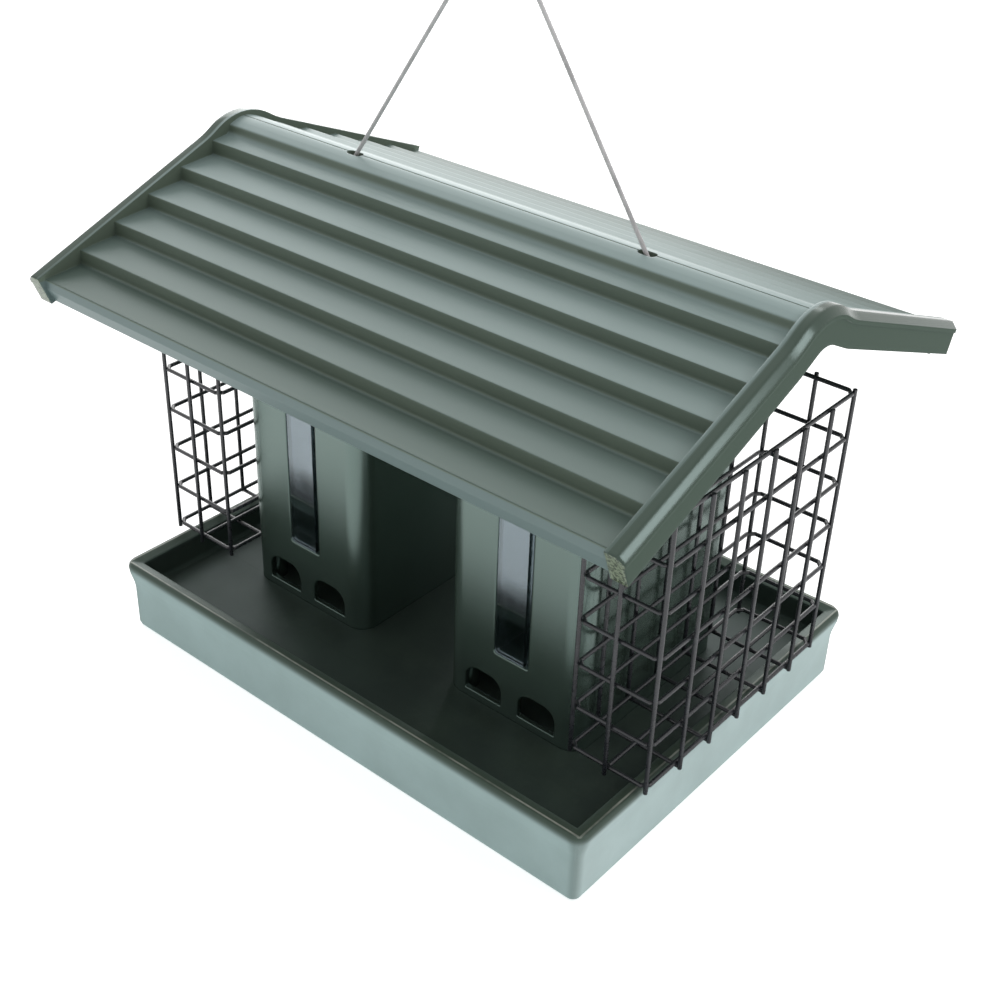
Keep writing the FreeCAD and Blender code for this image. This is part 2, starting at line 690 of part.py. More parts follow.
def make_cage(side):
    """Five welded wire faces of one cage, returned by name."""
    hoop = 2 * WIRE_RADIUS + SEAT_GAP
    half = CAGE_PITCH * CAGE_BAYS / 2
    levels = [CAGE_BOTTOM + CAGE_PITCH * row for row in range(CAGE_BAYS + 1)]
    pitches = [-half + CAGE_PITCH * bay for bay in range(CAGE_BAYS + 1)]
    middle = (CAGE_NEAR + CAGE_FAR) / 2
    faces = {}
    for name, post_x, run_x in (("inner", CAGE_NEAR, CAGE_NEAR + hoop), ("outer", CAGE_FAR, CAGE_FAR - hoop)):
        wires = [upright(side * post_x, y) for y in pitches[1:-1]]
        corner = (CAGE_CORNER + hoop) * math.sqrt(0.5) - CAGE_CORNER
        corner_x = run_x + math.copysign(corner, post_x - run_x)
        wires += [upright(side * corner_x, face * (half + corner)) for face in (-1, 1)]
        for level in levels:
            start = Vec(side * run_x, -half + CAGE_CORNER, level)
            wires.append(bar([start, start + ACROSS * (2 * (half - CAGE_CORNER))], WIRE_RADIUS, UP))
        faces[name] = wires
    for name, face in (("front", -1), ("back", 1)):
        wires = [wire_row(side, face, level) for level in levels]
        wires.append(upright(side * middle, face * (half + hoop)))
        faces[name] = wires
    low = CAGE_BOTTOM - hoop
    wires = []
    for y in pitches[1:-1]:
        start = Vec(side * (CAGE_NEAR + WIRE_RADIUS + SEAT_GAP), y, low)
        end = Vec(side * (CAGE_FAR - WIRE_RADIUS - SEAT_GAP), y, low)
        wires.append(bar([start, end], WIRE_RADIUS, UP))
    reach = ACROSS * (half - WIRE_RADIUS - SEAT_GAP)
    centre = Vec(side * middle, 0, CAGE_BOTTOM)
    wires.append(bar([centre - reach, centre + reach], WIRE_RADIUS, UP))
    faces["bottom"] = wires
    return faces


os.makedirs("parts", exist_ok=True)

save("tray", [make_tray()])
save("roof", [make_roof()])
save("cord_loop", [make_cord_loop()])

silo = make_silo()
pane = make_pane()
screw = make_screw()
hook_places = (-HOOK_SPACING / 2, HOOK_SPACING / 2)
hooks = [make_hook(across) for across in hook_places]
nuts = [make_nut(across) for across in hook_places]
cord_end = make_cord_end()
knot = make_knot()

for label, side in (("left", -1), ("right", 1)):
    shift = silo_shift(side)
    turned = silo if side > 0 else half_turn(silo)
    save("silo_" + label, [moved(turned, shift)])
    save("window_" + label + "_front", [moved(pane, shift)])
    save("window_" + label + "_back", [moved(half_turn(pane), shift)])
    seat = UP * (FLOOR_TOP - FLOOR_THICK)
    save("silo_screws_" + label, [moved(screw, spot + shift + seat) for spot in boss_places()])
    save("cage_hooks_" + label, hooks if side > 0 else [half_turn(shape) for shape in hooks])
    save("hook_nuts_" + label, nuts if side > 0 else [half_turn(shape) for shape in nuts])
    save("cord_end_" + label, [cord_end if side > 0 else half_turn(cord_end)])
    save("cord_knot_" + label, [knot if side > 0 else half_turn(knot)])
    for face, wires in make_cage(side).items():
        save("cage_" + label + "_" + face, wires)

print("parts", len(os.listdir("parts")))
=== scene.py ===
"""Silo bird feeder: finishes, hanging cord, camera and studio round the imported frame, in metres."""

import logging
import math
from dataclasses import dataclass, field
from enum import Enum
from typing import Any, Sequence

import bpy
from mathutils import Matrix, Vector


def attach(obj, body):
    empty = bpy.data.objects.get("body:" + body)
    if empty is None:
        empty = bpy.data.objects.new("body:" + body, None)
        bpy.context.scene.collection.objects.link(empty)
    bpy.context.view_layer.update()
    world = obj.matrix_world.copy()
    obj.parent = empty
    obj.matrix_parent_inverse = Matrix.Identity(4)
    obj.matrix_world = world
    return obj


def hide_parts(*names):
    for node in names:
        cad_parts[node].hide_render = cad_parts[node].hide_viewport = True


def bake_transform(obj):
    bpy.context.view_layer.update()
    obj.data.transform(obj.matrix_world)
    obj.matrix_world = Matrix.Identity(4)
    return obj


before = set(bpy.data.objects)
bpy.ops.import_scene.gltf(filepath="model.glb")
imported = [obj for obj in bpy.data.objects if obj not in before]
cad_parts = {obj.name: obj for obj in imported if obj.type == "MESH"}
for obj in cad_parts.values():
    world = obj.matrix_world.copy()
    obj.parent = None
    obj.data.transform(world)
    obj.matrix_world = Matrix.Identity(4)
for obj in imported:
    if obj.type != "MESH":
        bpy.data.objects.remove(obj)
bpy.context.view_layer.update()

LOG = logging.getLogger("bird_feeder")
Colour = tuple[float, float, float]
Point = tuple[float, float, float]
Span = tuple[float, float]
Socket = bpy.types.NodeSocket

WHITE: Colour = (1.0, 1.0, 1.0)
TRAY_HALF_LENGTH = 0.15
TRAY_HALF_WIDTH = 0.11
CORD_MAP = "lay"


class Side(Enum):
    """The two ends of the feeder, with the sign of their X."""

    LEFT = -1
    RIGHT = 1

    @property
    def label(self) -> str:
        """Name used in the frame's nodes."""
        return self.name.lower()


class Body(Enum):
    """Bodies that carry the cord."""

    BASE = "base"
    ROOF = "roof"


class NodeBoard:
    """A node tree that is filled one node at a time.

    The places are those of the colour sockets on a Mix node.
    """

    MIX_FIRST = 6
    MIX_SECOND = 7
    MIX_RESULT = 2

    def __init__(self, tree: bpy.types.NodeTree) -> None:
        """Keep the tree to fill.

        Args:
            tree: Node tree of a material, a world or a group.
        """
        self.tree = tree

    @classmethod
    def for_material(cls, name: str) -> tuple["NodeBoard", bpy.types.Material]:
        """Make an empty material.

        Args:
            name: Name of the new material.

        Returns:
            The board of its node tree, and the material.
        """
        material = bpy.data.materials.new(name)
        material.use_nodes = True
        material.node_tree.nodes.clear()
        return cls(material.node_tree), material

    def add(self, kind: str, values: dict[Any, Any] | None = None, **settings: Any) -> bpy.types.Node:
        """Add a node, and set or link its inputs.

        Args:
            kind: Node type, without the ShaderNode prefix.
            values: Input names or places, each with a value or an output to link.
            settings: Properties of the node.

        Returns:
            The new node.
        """
        node = self.tree.nodes.new("ShaderNode" + kind)
        for key, value in settings.items():
            setattr(node, key, value)
        for key, value in (values or {}).items():
            self.feed(node.inputs[key], value)
        return node

    def feed(self, socket: Socket, value: Any) -> None:
        """Give a socket a fixed value, or link an output to it.

        Args:
            socket: Input to set.
            value: Number, colour, vector or output socket.
        """
        if isinstance(value, Socket):
            self.tree.links.new(value, socket)
            return
        if isinstance(value, tuple) and socket.type == "RGBA" and len(value) == 3:
            value = (*value, 1.0)
        socket.default_value = value

    def math(self, operation: str, first: Any, second: Any = 0.0, third: Any = 0.0) -> Socket:
        """Add a Math node.

        Args:
            operation: Operation of the node.
            first: First number or output.
            second: Second number or output.
            third: Third number or output.

        Returns:
            Its output.
        """
        return self.add("Math", {0: first, 1: second, 2: third}, operation=operation).outputs[0]

    def product(self, first: Any, second: Any) -> Socket:
        """Multiply two numbers or masks."""
        return self.math("MULTIPLY", first, second)

    def ramp(self, value: Any, span: Span, start: Any = 0.0, end: Any = 1.0) -> Socket:
        """Turn a number into another that changes smoothly over a span.

        Args:
            value: Number or output to map.
            span: Where the change starts and where it ends.
            start: Result at the start, a number or output.
            end: Result at the end, a number or output.

        Returns:
            The mapped output.
        """
        values = {"Value": value, "From Min": span[0], "From Max": span[1], "To Min": start, "To Max": end}
        return self.add("MapRange", values, interpolation_type="SMOOTHSTEP").outputs["Result"]

    def choose(self, mask: Any, off: Any, on: Any) -> Socket:
        """Take one number where a mask is 0 and another where it is 1."""
        return self.ramp(mask, (0.0, 1.0), off, on)

    def mix(self, share: Any, first: Any, second: Any) -> Socket:
        """Mix two colours.

        Args:
            share: Part of the second colour.
            first: First colour or output.
            second: Second colour or output.

        Returns:
            The mixed colour.
        """
        node = self.add("Mix", data_type="RGBA")
        self.feed(node.inputs[0], share)
        self.feed(node.inputs[self.MIX_FIRST], first)
        self.feed(node.inputs[self.MIX_SECOND], second)
        return node.outputs[self.MIX_RESULT]

    def facing(self, axis: str) -> Socket:
        """How far a face looks along an axis, either way."""
        normal = self.add("NewGeometry").outputs["True Normal"]
        return self.math("ABSOLUTE", self.add("SeparateXYZ", {0: normal}).outputs[axis])

    def bump(self, height: Any, strength: float, depth: float, normal: Socket | None = None) -> Socket:
        """Roughen a surface in relief.

        Args:
            height: Output that gives the relief.
            strength: Strength of the relief.
            depth: Depth of the relief, in metres.
            normal: Normal to start from, or none for the surface's own.

        Returns:
            The roughened normal.
        """
        values = {"Height": height, "Strength": strength, "Distance": depth}
        if normal is not None:
            values["Normal"] = normal
        return self.add("Bump", values).outputs[0]

    def effect(self, tree: bpy.types.NodeTree, values: dict[str, Any]) -> bpy.types.Node:
        """Add a shared effect.

        Args:
            tree: Node group of the effect.
            values: Its inputs by name.

        Returns:
            The group node.
        """
        node = self.add("Group")
        node.node_tree = tree
        for key, value in values.items():
            self.feed(node.inputs[key], value)
        return node

    def close(self, shader: bpy.types.Node) -> None:
        """Link a shader to the material's output."""
        output = self.add("OutputMaterial")
        self.tree.links.new(shader.outputs[0], output.inputs["Surface"])


@dataclass(frozen=True)
class Noise:
    """Scale and make-up of a noise pattern."""

    scale: float
    detail: float
    roughness: float = 0.5

    def lay(self, board: NodeBoard, place: Any) -> Socket:
        """Add the pattern to a board.

        Args:
            board: Board to add it to.
            place: Coordinates that it follows.

        Returns:
            The pattern's value.
        """
        values = {"Vector": place, "Scale": self.scale, "Detail": self.detail, "Roughness": self.roughness}
        return board.add("TexNoise", values).outputs[0]


@dataclass
class SharedEffects:
    """Node groups that several finishes use."""

    bevel_samples: int = 8
    fine: Noise = Noise(1400.0, 2.0, 0.6)
    fine_share: float = 0.25
    wave: Noise = Noise(130.0, 1.0)
    mottle: Noise = Noise(14.0, 4.0, 0.55)
    mottle_span: Span = (0.3, 0.7)
    streaks: Noise = Noise(1.0, 3.0, 0.7)
    streak_stretch: Point = (5.0, 260.0, 260.0)
    streak_span: Span = (0.58, 0.78)
    specks: Noise = Noise(420.0, 3.0)
    speck_span: Span = (0.45, 0.75)
    patches: Noise = Noise(22.0, 2.0)
    patch_span: Span = (0.35, 0.7)
    upward_span: Span = (0.6, 1.0)
    soft_edges: bpy.types.NodeTree = field(init=False)
    mould_grain: bpy.types.NodeTree = field(init=False)
    settled_dust: bpy.types.NodeTree = field(init=False)

    def __post_init__(self) -> None:
        """Build the groups."""
        self.soft_edges = self._soft_edges()
        self.mould_grain = self._mould_grain()
        self.settled_dust = self._settled_dust()

    @staticmethod
    def _open(name: str, inputs: dict[str, str], outputs: dict[str, str]) -> tuple[NodeBoard, Any, Any]:
        """Make an empty group.

        Args:
            name: Name of the group.
            inputs: Input names with their socket kinds.
            outputs: Output names with their socket kinds.

        Returns:
            Its board, its input node and its output node.
        """
        tree = bpy.data.node_groups.new(name, "ShaderNodeTree")
        for label, kind in inputs.items():
            tree.interface.new_socket(label, in_out="INPUT", socket_type="NodeSocket" + kind)
        for label, kind in outputs.items():
            tree.interface.new_socket(label, in_out="OUTPUT", socket_type="NodeSocket" + kind)
        return NodeBoard(tree), tree.nodes.new("NodeGroupInput"), tree.nodes.new("NodeGroupOutput")

    def _soft_edges(self) -> bpy.types.NodeTree:
        """Build the rounded normals along edges.

        Returns:
            The group.
        """
        board, given, result = self._open("soft_edges", {"Radius": "Float"}, {"Normal": "Vector"})
        bevel = board.add("Bevel", {"Radius": given.outputs["Radius"]}, samples=self.bevel_samples)
        board.feed(result.inputs["Normal"], bevel.outputs[0])
        return board.tree

    def _mould_grain(self) -> bpy.types.NodeTree:
        """Build the fine grain, broad mottling and long rub marks of a plastic skin.

        Returns:
            The group.
        """
        board, given, result = self._open(
            "mould_grain", {"Vector": "Vector"}, {"Grain": "Float", "Mottle": "Float", "Rubs": "Float"})
        place = given.outputs["Vector"]
        fine = self.fine.lay(board, place)
        grain = board.math("MULTIPLY_ADD", fine, self.fine_share, self.wave.lay(board, place))
        stretch = board.add("Mapping", {"Vector": place, "Scale": self.streak_stretch})
        streaks = self.streaks.lay(board, stretch.outputs[0])
        board.feed(result.inputs["Grain"], grain)
        board.feed(result.inputs["Mottle"], board.ramp(self.mottle.lay(board, place), self.mottle_span))
        board.feed(result.inputs["Rubs"], board.ramp(streaks, self.streak_span))
        return board.tree

    def _settled_dust(self) -> bpy.types.NodeTree:
        """Build the thin dust on faces that look up.

        Returns:
            The group.
        """
        board, given, result = self._open("settled_dust", {"Vector": "Vector"}, {"Dust": "Float"})
        place = given.outputs["Vector"]
        normal = board.add("NewGeometry").outputs["Normal"]
        upward = board.add("SeparateXYZ", {0: normal}).outputs["Z"]
        specks = board.ramp(self.specks.lay(board, place), self.speck_span)
        patches = board.ramp(self.patches.lay(board, place), self.patch_span)
        cover = board.product(specks, patches)
        board.feed(result.inputs["Dust"], board.product(cover, board.ramp(upward, self.upward_span)))
        return board.tree


@dataclass(frozen=True)
class MouldedPlastic:
    """Dark grey-green moulding with a smooth, shiny skin."""

    name: str
    tone: Colour = (0.046, 0.066, 0.047)
    shade: Colour = (0.037, 0.054, 0.038)
    dust: Colour = (0.2, 0.21, 0.19)
    glint: Colour = (0.8, 1.0, 0.99)
    roughness: float = 0.42
    index: float = 1.5
    edge_round: float = 0.0014
    dust_share: float = 0.12
    rub: float = 0.1
    grain_strength: float = 0.1
    grain_depth: float = 0.0001

    def soften(self, board: NodeBoard, place: Any) -> Any:
        """Radius over which the edges look rounded.

        Args:
            board: Board to add nodes to.
            place: Object coordinates.

        Returns:
            A number, or an output that changes over the surface.
        """
        return self.edge_round

    def polish(self, board: NodeBoard, place: Any, gloss: Any) -> Any:
        """Roughness of the moulding, to be changed by special mouldings.

        Args:
            board: Board to add nodes to.
            place: Object coordinates.
            gloss: Plain roughness of the skin.

        Returns:
            The finished roughness.
        """
        return gloss

    def colour(self, board: NodeBoard, place: Any, base: Any) -> Any:
        """Colour of the moulding, to be changed by special mouldings.

        Args:
            board: Board to add nodes to.
            place: Object coordinates.
            base: Plain colour of the skin.

        Returns:
            The finished colour.
        """
        return base

    def build(self, effects: SharedEffects) -> bpy.types.Material:
        """Make the material.

        Args:
            effects: Shared node groups.

        Returns:
            The material.
        """
        board, material = NodeBoard.for_material(self.name)
        place = board.add("TexCoord").outputs["Object"]
        edges = board.effect(effects.soft_edges, {"Radius": self.soften(board, place)})
        grain = board.effect(effects.mould_grain, {"Vector": place})
        dust = board.effect(effects.settled_dust, {"Vector": place})
        skin = board.mix(grain.outputs["Mottle"], self.shade, self.tone)
        film = board.product(dust.outputs["Dust"], self.dust_share)
        skin = self.colour(board, place, board.mix(film, skin, self.dust))
        gloss = board.choose(grain.outputs["Rubs"], self.roughness, self.roughness + self.rub)
        gloss = self.polish(board, place, gloss)
        normal = board.bump(grain.outputs["Grain"], self.grain_strength, self.grain_depth,
                            edges.outputs["Normal"])
        shader = board.add("BsdfPrincipled", {
            "Base Color": skin, "Roughness": gloss, "Normal": normal, "IOR": self.index,
            "Specular Tint": self.glint})
        board.close(shader)
        return material


@dataclass(frozen=True)
class RoofPlastic(MouldedPlastic):
    """Roof moulding with painted light on its up-facing flats, paler towards the ridge, a painted highlight
    on the ridge cap, a painted reflection on the eave lips, painted shade on the rims, and pale pitted rim
    ends.
    """

    # painted highlight on the ridge cap, painted light on the flats from ridge to eave, painted reflection on
    # the eave lip and painted shade on the rims
    cap_highlight_tone: Colour = (0.25, 0.32, 0.315)
    lit_ridge_tone: Colour = (0.176, 0.235, 0.227)
    lit_eave_tone: Colour = (0.055, 0.083, 0.067)
    lip_reflection_tone: Colour = (0.115, 0.155, 0.15)
    rim_shade_tone: Colour = (0.043, 0.064, 0.045)
    core: Colour = (0.16, 0.19, 0.125)
    pit: Colour = (0.04, 0.05, 0.032)
    pits: Noise = Noise(700.0, 3.0, 0.7)
    pit_span: Span = (0.38, 0.55)
    # heights over which the painted light of the flats, the cap highlight and the lip reflection come in
    painted_light_heights: Span = (0.19, 0.235)
    cap_heights: Span = (0.2405, 0.2465)
    lip_heights: Span = (0.1993, 0.1983)
    flat_facing: Span = (0.4, 0.95)
    flat_share: float = 0.9
    rim_from: float = 0.1618
    rim_round: float = 0.0022
    rim_gloss: float = 0.42
    fascia_facing: Span = (0.8, 0.95)
    fascia_matt: float = 0.85
    end_from: float = 0.1205
    end_facing: Span = (0.85, 0.91)

    def soften(self, board: NodeBoard, place: Any) -> Any:
        """Radius over which the edges look rounded, larger on the rolled rims.

        Args:
            board: Board to add nodes to.
            place: Object coordinates.

        Returns:
            The radius as an output.
        """
        return board.choose(self._rims(board, place), self.edge_round, self.rim_round)

    def polish(self, board: NodeBoard, place: Any, gloss: Any) -> Any:
        """Roughness of the roof, smoother on the rims and matt on their outer faces.

        Args:
            board: Board to add nodes to.
            place: Object coordinates.
            gloss: Plain roughness of the skin.

        Returns:
            The finished roughness.
        """
        rolled = board.product(gloss, board.choose(self._rims(board, place), 1.0, self.rim_gloss))
        fascia = board.ramp(board.facing("X"), self.fascia_facing)
        return board.choose(fascia, rolled, self.fascia_matt)

    def colour(self, board: NodeBoard, place: Any, base: Any) -> Any:
        """Colour of the roof with painted light on its flats and cap, painted reflection on the lips, painted
        shade on the rims, and cut rim ends.

        Args:
            board: Board to add nodes to.
            place: Object coordinates.
            base: Plain colour of the skin.

        Returns:
            The finished colour.
        """
        height = board.add("SeparateXYZ", {0: place}).outputs["Z"]
        # painted light on the up-facing flats, darker at the eave and paler towards the ridge; risers keep
        # the base tone
        flats = board.mix(board.ramp(height, self.painted_light_heights), self.lit_eave_tone, self.lit_ridge_tone)
        # painted highlight along the ridge cap
        flats = board.mix(board.ramp(height, self.cap_heights), flats, self.cap_highlight_tone)
        normal = board.add("NewGeometry").outputs["True Normal"]
        upward = board.add("SeparateXYZ", {0: normal}).outputs["Z"]
        skin = board.mix(board.ramp(upward, self.flat_facing, 0.0, self.flat_share), base, flats)
        # painted reflection of the table on the eave lip at the bottom of the roof
        skin = board.mix(board.ramp(height, self.lip_heights), skin, self.lip_reflection_tone)
        # painted shade: the gable rims take a darker tone than the rest of the roof
        skin = board.mix(self._rims(board, place), skin, self.rim_shade_tone)
        torn = board.mix(board.ramp(self.pits.lay(board, place), self.pit_span), self.pit, self.core)
        return board.mix(self._cut_ends(board, place), skin, torn)

    def _rims(self, board: NodeBoard, place: Any) -> Socket:
        """Mask of the two gable rims.

        Args:
            board: Board to add nodes to.
            place: Object coordinates.

        Returns:
            The mask.
        """
        spot = board.add("SeparateXYZ", {0: place})
        along = board.math("ABSOLUTE", spot.outputs["X"])
        return board.ramp(along, (self.rim_from, self.rim_from + self.rim_round))

    def _cut_ends(self, board: NodeBoard, place: Any) -> Socket:
        """Mask of the cut faces at the four rim ends.

        Args:
            board: Board to add nodes to.
            place: Object coordinates.

        Returns:
            The mask.
        """
        spot = board.add("SeparateXYZ", {0: place})
        on_rim = board.math("GREATER_THAN", board.math("ABSOLUTE", spot.outputs["X"]), self.rim_from)
        at_end = board.math("GREATER_THAN", board.math("ABSOLUTE", spot.outputs["Y"]), self.end_from)
        outward = board.ramp(board.facing("Y"), self.end_facing)
        return board.product(board.product(on_rim, at_end), outward)


@dataclass(frozen=True)
class TrayPlastic(MouldedPlastic):
    """Tray moulding with painted light on its outer walls, painted shade in the well, and a painted highlight
    along the crest.
    """

    # painted shade in the well, painted light on the outer walls and more on the end walls, and a painted
    # highlight along the crest
    well_shade_tone: Colour = (0.02, 0.028, 0.024)
    lit_wall_tone: Colour = (0.335, 0.425, 0.415)
    lit_end_tone: Colour = (0.47, 0.56, 0.55)
    rubbed_and_highlight: Colour = (0.3, 0.31, 0.27)
    blotches: Noise = Noise(35.0, 4.0, 0.6)
    ledge: float = 0.0076
    well_shade_top: float = 0.0382
    well_shade_span: Span = (0.3, 0.7)
    well_shade_shares: Span = (0.55, 0.9)
    painted_light_heights: Span = (0.0392, 0.0345)
    wall_light_span: Span = (0.2, 0.8)
    wall_light_shares: Span = (0.85, 1.0)
    corner_reach: Span = (0.003, 0.008)
    corner_shares: Span = (0.55, 1.0)
    end_facing: Span = (0.3, 0.9)
    crest: float = 0.0026
    crest_reach: Span = (0.0007, 0.0002)
    crest_span: Span = (0.35, 0.55)
    crest_shares: Span = (0.25, 1.0)

    def colour(self, board: NodeBoard, place: Any, base: Any) -> Any:
        """Colour of the tray with its painted shade in the well, painted light on the walls and a painted
        highlight on the crest.

        Args:
            board: Board to add nodes to.
            place: Object coordinates.
            base: Plain colour of the skin.

        Returns:
            The finished colour.
        """
        spot = board.add("SeparateXYZ", {0: place})
        height = spot.outputs["Z"]
        inward_x = board.math("SUBTRACT", TRAY_HALF_LENGTH, board.math("ABSOLUTE", spot.outputs["X"]))
        inward_y = board.math("SUBTRACT", TRAY_HALF_WIDTH, board.math("ABSOLUTE", spot.outputs["Y"]))
        inward = board.math("MINIMUM", inward_x, inward_y)
        blotches = self.blotches.lay(board, place)

        # painted shade: the well below the ledge is darkened, in blotches
        in_well = board.math("GREATER_THAN", inward, self.ledge)
        shaded_well = board.product(in_well, board.math("LESS_THAN", height, self.well_shade_top))
        shaded_well = board.product(shaded_well, board.ramp(blotches, self.well_shade_span, *self.well_shade_shares))

        # painted light: the outer walls below the rim turn paler, less near the corners, in blotches
        corner = board.math("MAXIMUM", inward_x, inward_y)
        lit_walls = board.ramp(height, self.painted_light_heights)
        lit_walls = board.product(lit_walls, board.math("LESS_THAN", inward, self.ledge))
        lit_walls = board.product(lit_walls, board.ramp(corner, self.corner_reach, *self.corner_shares))
        lit_walls = board.product(lit_walls, board.ramp(blotches, self.wall_light_span, *self.wall_light_shares))

        # painted highlight: a thin pale line along the crest of the rim
        off_crest = board.math("ABSOLUTE", board.math("SUBTRACT", inward, self.crest))
        crest_highlight = board.ramp(off_crest, self.crest_reach)
        crest_highlight = board.product(crest_highlight, board.ramp(blotches, self.crest_span, *self.crest_shares))
        crest_highlight = board.product(crest_highlight, board.math("GREATER_THAN", height, self.painted_light_heights[0]))

        # walls that face the ends take a still paler painted light
        pale = board.mix(board.ramp(board.facing("X"), self.end_facing), self.lit_wall_tone, self.lit_end_tone)
        skin = board.mix(shaded_well, board.mix(lit_walls, base, pale), self.well_shade_tone)
        return board.mix(crest_highlight, skin, self.rubbed_and_highlight)


@dataclass(frozen=True)
class ClearSheet:
    """Clear plastic sheet of the silo windows, with faint smears."""

    name: str = "clear_sheet"
    tint: Colour = (0.72, 0.82, 0.9)
    glint: Colour = (0.8, 0.94, 1.0)
    index: float = 2.2
    smears: Noise = Noise(1.0, 3.0)
    smear_stretch: Point = (160.0, 160.0, 30.0)
    smear_span: Span = (0.45, 0.8)
    haze: Span = (0.02, 0.12)
    ripples: Noise = Noise(45.0, 1.0)
    ripple_strength: float = 0.2
    ripple_depth: float = 0.0006

    def build(self, effects: SharedEffects) -> bpy.types.Material:
        """Make the material.

        Args:
            effects: Shared node groups, which every finish is given and this one leaves out.

        Returns:
            The material.
        """
        board, material = NodeBoard.for_material(self.name)
        place = board.add("TexCoord").outputs["Object"]
        stretch = board.add("Mapping", {"Vector": place, "Scale": self.smear_stretch})
        smears = self.smears.lay(board, stretch.outputs[0])
        normal = board.bump(self.ripples.lay(board, place), self.ripple_strength, self.ripple_depth)
        shader = board.add("BsdfPrincipled", {
            "Base Color": self.tint, "Roughness": board.ramp(smears, self.smear_span, *self.haze),
            "Normal": normal, "IOR": self.index, "Specular Tint": self.glint, "Transmission Weight": 1.0})
        board.close(shader)
        return material


@dataclass(frozen=True)
class CoatedWire:
    """Welded cage wire under a dark dipped coat."""

    name: str = "coated_wire"
    tone: Colour = (0.013, 0.014, 0.018)
    rubbed_and_highlight: Colour = (0.03, 0.032, 0.038)
    index: float = 1.6
    edge_round: float = 0.0007
    patches: Noise = Noise(60.0, 3.0)
    patch_span: Span = (0.45, 0.75)
    lumps: Noise = Noise(480.0, 2.0)
    lump_span: Span = (0.3, 0.7)
    lump_strength: float = 0.35
    lump_depth: float = 0.0002
    gloss: Span = (0.24, 0.36)

    def build(self, effects: SharedEffects) -> bpy.types.Material:
        """Make the material.

        Args:
            effects: Shared node groups.

        Returns:
            The material.
        """
        board, material = NodeBoard.for_material(self.name)
        place = board.add("TexCoord").outputs["Object"]
        edges = board.effect(effects.soft_edges, {"Radius": self.edge_round})
        lumps = self.lumps.lay(board, place)
        patches = board.ramp(self.patches.lay(board, place), self.patch_span)
        normal = board.bump(lumps, self.lump_strength, self.lump_depth, edges.outputs["Normal"])
        shader = board.add("BsdfPrincipled", {
            "Base Color": board.mix(patches, self.tone, self.rubbed_and_highlight),
            "Roughness": board.ramp(lumps, self.lump_span, *self.gloss), "Normal": normal, "IOR": self.index})
        board.close(shader)
        return material


@dataclass(frozen=True)
class ZincSteel:
    """Bright zinc on the hooks, nuts and screws."""

    name: str = "zinc_steel"
    bright: Colour = (0.62, 0.63, 0.64)
    dull: Colour = (0.42, 0.43, 0.43)
    edge_round: float = 0.0005
    clouds: Noise = Noise(260.0, 3.0)
    cloud_span: Span = (0.35, 0.7)
    spangle_scale: float = 900.0
    spangle_span: Span = (0.0, 0.8)
    gloss: Span = (0.24, 0.44)

    def build(self, effects: SharedEffects) -> bpy.types.Material:
        """Make the material.

        Args:
            effects: Shared node groups.

        Returns:
            The material.
        """
        board, material = NodeBoard.for_material(self.name)
        place = board.add("TexCoord").outputs["Object"]
        edges = board.effect(effects.soft_edges, {"Radius": self.edge_round})
        clouds = board.ramp(self.clouds.lay(board, place), self.cloud_span)
        spangle = board.add("TexVoronoi", {"Vector": place, "Scale": self.spangle_scale}).outputs["Distance"]
        shader = board.add("BsdfPrincipled", {
            "Base Color": board.mix(clouds, self.bright, self.dull), "Metallic": 1.0,
            "Roughness": board.ramp(spangle, self.spangle_span, *self.gloss),
            "Normal": edges.outputs["Normal"]})
        board.close(shader)
        return material


@dataclass(frozen=True)
class LaidCord:
    """Off-white cord of twisted yarn, greyed by weather."""

    name: str = "laid_cord"
    clean: Colour = (0.62, 0.6, 0.6)
    grey: Colour = (0.34, 0.33, 0.33)
    roughness: float = 0.8
    sheen: float = 0.3
    yarn_turn: Point = (0.0, 0.0, 0.6)
    yarn_stretch: Point = (9.0, 1.0, 1.0)
    fibres: Noise = Noise(3.0, 4.0, 0.7)
    fibre_span: Span = (0.35, 0.6)
    fibre_shares: Span = (0.45, 0.0)
    fibre_strength: float = 0.7
    fibre_depth: float = 0.0002
    soil: Noise = Noise(90.0, 3.0)
    soil_span: Span = (0.4, 0.75)
    soil_share: float = 0.7

    def build(self, effects: SharedEffects) -> bpy.types.Material:
        """Make the material.

        Args:
            effects: Shared node groups, which every finish is given and this one leaves out.

        Returns:
            The material.
        """
        board, material = NodeBoard.for_material(self.name)
        place = board.add("TexCoord").outputs["Object"]
        track = board.add("UVMap", uv_map=CORD_MAP).outputs[0]
        yarns = board.add("Mapping", {
            "Vector": track, "Rotation": self.yarn_turn, "Scale": self.yarn_stretch})
        fibres = self.fibres.lay(board, yarns.outputs[0])
        soiled = board.product(board.ramp(self.soil.lay(board, place), self.soil_span), self.soil_share)
        colour = board.mix(soiled, self.clean, self.grey)
        colour = board.mix(board.ramp(fibres, self.fibre_span, *self.fibre_shares), colour, self.grey)
        normal = board.bump(fibres, self.fibre_strength, self.fibre_depth)
        shader = board.add("BsdfPrincipled", {
            "Base Color": colour, "Roughness": self.roughness, "Normal": normal, "Sheen Weight": self.sheen})
        board.close(shader)
        return material


